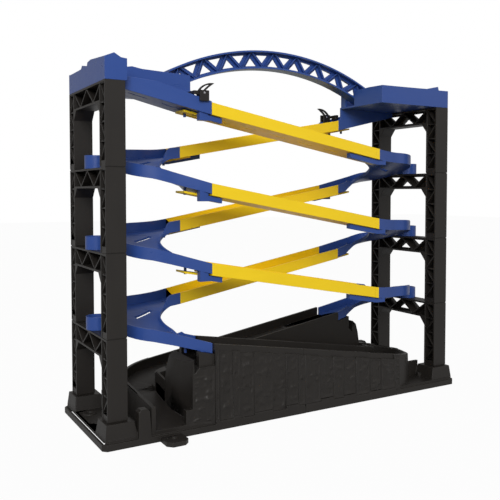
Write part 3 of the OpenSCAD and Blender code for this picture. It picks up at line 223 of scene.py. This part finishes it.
def grown(piece, tree, sizes):
    """The piece after the tree, with its inputs set by their identifiers."""
    growth = piece.modifiers.new("growth", "NODES")
    growth.node_group = tree
    for item in tree.interface.items_tree:
        if item.in_out == "INPUT" and item.name in sizes:
            growth[item.identifier] = sizes[item.name]
    return applied(piece)


def joined(tree, kind, settings=None, inputs=None):
    """A geometry node with its settings, its values and its links."""
    made = tree.nodes.new(kind)
    for key, value in (settings or {}).items():
        setattr(made, key, value)
    for key, value in (inputs or {}).items():
        if isinstance(value, bpy.types.NodeSocket):
            tree.links.new(value, made.inputs[key])
        else:
            made.inputs[key].default_value = value
    return made


def rock_tree(material):
    """Sculpts the flat facets of the rock walls, and leaves their borders where they are."""
    tree, first, last = tree_with("rock carving", ["wall", "foot", "end", "relief", "border",
                                                   "ridge", "chip"])
    size = {s.name: s for s in first.outputs}
    normal = joined(tree, "GeometryNodeInputNormal")
    spot = joined(tree, "GeometryNodeInputPosition")
    n = joined(tree, "ShaderNodeSeparateXYZ", None, {0: normal.outputs[0]})
    p = joined(tree, "ShaderNodeSeparateXYZ", None, {0: spot.outputs[0]})

    def calc(operation, a, b):
        return joined(tree, "ShaderNodeMath", {"operation": operation}, {0: a, 1: b}).outputs[0]

    front = calc("SIGN", p.outputs[1], 0)
    facing = calc("GREATER_THAN", calc("MULTIPLY", n.outputs[1], front), 0.985)
    outside = calc("GREATER_THAN", calc("ABSOLUTE", p.outputs[1], 0), size["wall"])
    above = calc("GREATER_THAN", p.outputs[2], size["foot"])
    flipped = calc("MULTIPLY", p.outputs[0], front)
    inside = calc("LESS_THAN", flipped, size["end"])
    chosen = calc("MULTIPLY", calc("MULTIPLY", facing, outside), calc("MULTIPLY", above, inside))
    parts = joined(tree, "GeometryNodeSeparateGeometry", {"domain": "FACE"},
                   {"Geometry": first.outputs["Geometry"], "Selection": chosen})
    facets = parts.outputs["Selection"]
    ends = joined(tree, "GeometryNodeInputMeshEdgeNeighbors")
    rim = joined(tree, "GeometryNodeSeparateGeometry", {"domain": "EDGE"},
                 {"Geometry": facets, "Selection": calc("LESS_THAN", ends.outputs[0], 1.5)})
    flat = joined(tree, "GeometryNodeTriangulate", None, {"Mesh": facets})
    fine = joined(tree, "GeometryNodeSubdivideMesh", None, {"Mesh": flat.outputs[0], "Level": 5})
    near = joined(tree, "GeometryNodeProximity", {"target_element": "EDGES"},
                  {0: rim.outputs["Selection"]})
    fade = joined(tree, "ShaderNodeMapRange", {"interpolation_type": "SMOOTHSTEP"},
                  {"Value": near.outputs["Distance"], "From Max": size["border"]})

    def lumps(scale, stretch, detail):
        squeezed = joined(tree, "ShaderNodeVectorMath", {"operation": "MULTIPLY"},
                          {0: spot.outputs[0], 1: stretch})
        scaled = calc("DIVIDE", 1.0, scale)
        return joined(tree, "ShaderNodeTexNoise", None,
                      {"Vector": squeezed.outputs[0], "Scale": scaled, "Detail": detail}).outputs[0]

    ridges = lumps(size["ridge"], (1.0, 1.0, 0.22), 2.0)
    chips = lumps(size["chip"], (0.55, 1.0, 1.3), 1.0)
    chips = calc("SMOOTH_MIN", calc("MAXIMUM", calc("SUBTRACT", chips, 0.52), 0.0), 0.09)
    height = calc("ADD", calc("SUBTRACT", ridges, 0.5), calc("MULTIPLY", chips, 4.0))
    height = calc("MULTIPLY", calc("MULTIPLY", height, size["relief"]), fade.outputs[0])
    shift = joined(tree, "ShaderNodeVectorMath", {"operation": "SCALE"},
                   {0: normal.outputs[0], "Scale": height})
    carved = joined(tree, "GeometryNodeSetPosition", None,
                    {"Geometry": fine.outputs[0], "Offset": shift.outputs[0]})
    smooth = joined(tree, "GeometryNodeSetShadeSmooth", None, {"Geometry": carved.outputs[0]})
    whole = tree.nodes.new("GeometryNodeJoinGeometry")
    tree.links.new(smooth.outputs[0], whole.inputs[0])
    tree.links.new(parts.outputs["Inverted"], whole.inputs[0])
    real = joined(tree, "GeometryNodeRealizeInstances", None, {"Geometry": whole.outputs[0]})
    done = joined(tree, "GeometryNodeSetMaterial", None,
                  {"Geometry": real.outputs[0], "Material": material})
    tree.links.new(done.outputs[0], last.inputs[0])
    return tree


carving = rock_tree(black)
for side in ("left", "right"):
    half = rounded_copy("base_" + side, black, base_edge)
    half = grown(half, carving, {"wall": 0.0806, "foot": 0.012, "end": 0.161, "relief": 0.0040,
                                 "border": 0.0035, "ridge": 0.011, "chip": 0.008})
    fitted(half, "base_" + side, "track")

# Joining screws, two zinc-plated self-tapping screws driven from below through the
# strap of one half into the boss of the other.
def zinc_plate():
    """Bright zinc on steel, slightly clouded."""
    finish = Finish("zinc_plate")
    cloud = finish.noise(0.0012, 3.0)
    finish.set(Base_Color=finish.tint((0.56, 0.56, 0.58), 0.85, 1.1, cloud),
               Metallic=1.0, Roughness=0.28 + 0.18 * cloud)
    finish.set(Normal=finish.bump(cloud, 0.00003))
    return finish.material


zinc = zinc_plate()
screws = rounded_copy("base_screws", zinc, track_edge)
fitted(screws, "base_screws", "track")

# Towers, eight portal frames in the same black plastic. Each is a ribbed channel
# moulding that drops over the square plugs of the one below, with no glue.
for side in ("left", "right"):
    for storey in range(1, 5):
        node = f"tower_{side}_{storey}"
        fitted(rounded_copy(node, black, tower_edge), node, "track")

# U-turns, six banked half-circle channels in blue plastic. The tubular socket of each
# one drops over the peg on its tower, and a pin under each end locks the straights.
blue = polished_plastic("blue_plastic", (0.029, 0.074, 0.290), 0.24, 0.0005)
for side in ("left", "right"):
    for storey in range(1, 4):
        node = f"turn_{side}_{storey}"
        fitted(rounded_copy(node, blue, track_edge), node, "track")

# Straights, six slotted channels in yellow plastic. Their latch plates run on under
# the blue ends and snap over the pins.
yellow = polished_plastic("yellow_plastic", (0.97, 0.67, 0.012), 0.30, 0.0006)
for side in ("front", "rear"):
    for storey in range(1, 4):
        node = f"straight_{side}_{storey}"
        fitted(rounded_copy(node, yellow, track_edge), node, "track")

# Start decks, two blue trays with rocky parapets pressed down over the top plugs of
# the towers, each with its start lane behind or in front.
for side in ("left", "right"):
    fitted(rounded_copy("deck_" + side, blue, deck_edge), "deck_" + side, "track")

# Arch, one blue truss moulding whose feet stand in the notches of the deck walls.
fitted(rounded_copy("arch", blue, track_edge), "arch", "track")

# Start levers, small black rockers that tip on a pin in a saddle over the lane wall.
# Their own weight lets the catch down into the lane, and a push on the arm frees the car.
for side in ("left", "right"):
    fitted(rounded_copy("lever_bracket_" + side, black, track_edge), "lever_bracket_" + side,
           "track")
    fitted(rounded_copy("lever_" + side, black, track_edge), "lever_" + side,
           side + "_lever")
    fitted(rounded_copy("lever_pin_" + side, zinc, pin_edge), "lever_pin_" + side,
           "track")

# Studio: a plain pale table top, soft lamps and the camera of the photograph.
def pale_table():
    """White table top that looks white from the camera and keeps a soft shadow."""
    finish = Finish("pale_table")
    tree = finish.tree
    grain = finish.noise(0.004, 2.0)
    finish.set(Base_Color=finish.tint((0.24, 0.24, 0.24), 0.99, 1.0, grain), Roughness=0.9,
               Specular_IOR_Level=0.1)
    seen = finish.node("ShaderNodeLightPath", output="Is Camera Ray")
    mirrored = finish.node("ShaderNodeLightPath", output="Is Glossy Ray")
    passed = finish.node("ShaderNodeLightPath", output="Is Transmission Ray")
    glow = tree.nodes.new("ShaderNodeEmission")
    glow.inputs["Color"].default_value = (1, 1, 1, 1)
    blend = tree.nodes.new("ShaderNodeMixShader")
    finish.feed(blend.inputs[0], 0.97 * (seen + passed) + 0.40 * mirrored)
    tree.links.new(finish.surface.outputs[0], blend.inputs[1])
    tree.links.new(glow.outputs[0], blend.inputs[2])
    tree.links.new(blend.outputs[0], tree.nodes["Material Output"].inputs[0])
    return finish.material


table_mesh = bpy.data.meshes.new("table_top")
reach = 6.0
corners = [(-reach, -reach, 0), (reach, -reach, 0), (reach, reach, 0), (-reach, reach, 0)]
table_mesh.from_pydata(corners, [], [(0, 1, 2, 3)])
table_mesh.materials.append(pale_table())
table_top = bpy.data.objects.new("table_top", table_mesh)
table_top.location = (0, 0, -0.0002)
bpy.context.scene.collection.objects.link(table_top)

world = bpy.data.worlds.new("studio")
bpy.context.scene.world = world
world.use_nodes = True
sky = world.node_tree
room = sky.nodes["Background"]
room.inputs["Color"].default_value = (1.0, 0.985, 0.965, 1)
room.inputs["Strength"].default_value = 0.44
backdrop = sky.nodes.new("ShaderNodeBackground")
backdrop.inputs["Color"].default_value = (1, 1, 1, 1)
backdrop.inputs["Strength"].default_value = 1.0
path = sky.nodes.new("ShaderNodeLightPath")
either = sky.nodes.new("ShaderNodeMixShader")
sky.links.new(path.outputs["Is Camera Ray"], either.inputs[0])
sky.links.new(room.outputs[0], either.inputs[1])
sky.links.new(backdrop.outputs[0], either.inputs[2])
sky.links.new(either.outputs[0], sky.nodes["World Output"].inputs[0])


def lamp(name, place, aim, width, watts):
    """A soft square lamp aimed at a point."""
    light = bpy.data.lights.new(name, "AREA")
    light.size = width
    light.energy = watts
    stand = bpy.data.objects.new(name, light)
    stand.location = place
    stand.rotation_euler = (Vector(aim) - Vector(place)).to_track_quat("-Z", "Y").to_euler()
    bpy.context.scene.collection.objects.link(stand)


lamp("key_lamp", (-1.25, -2.1, 1.35), (0, 0, 0.22), 1.2, 46.0)
lamp("fill_lamp", (1.7, -1.3, 0.9), (0, 0, 0.2), 1.2, 2.0)
lamp("top_lamp", (0.1, 0.2, 2.2), (0, 0, 0.2), 1.4, 12.0)

camera = bpy.data.cameras.new("camera")
camera.sensor_width = 36.0
camera.lens = 48.88
camera.shift_x = 0.0024
camera.shift_y = -0.0632
camera.clip_start = 0.05
camera.clip_end = 30.0
viewer = bpy.data.objects.new("camera", camera)
viewer.location = (-0.51789, -0.82788, 0.29720)
viewer.rotation_euler = (math.radians(90 - 2.22), math.radians(0.027), math.radians(-30.035))
bpy.context.scene.collection.objects.link(viewer)
bpy.context.scene.camera = viewer
bpy.context.scene.view_settings.view_transform = "Standard"
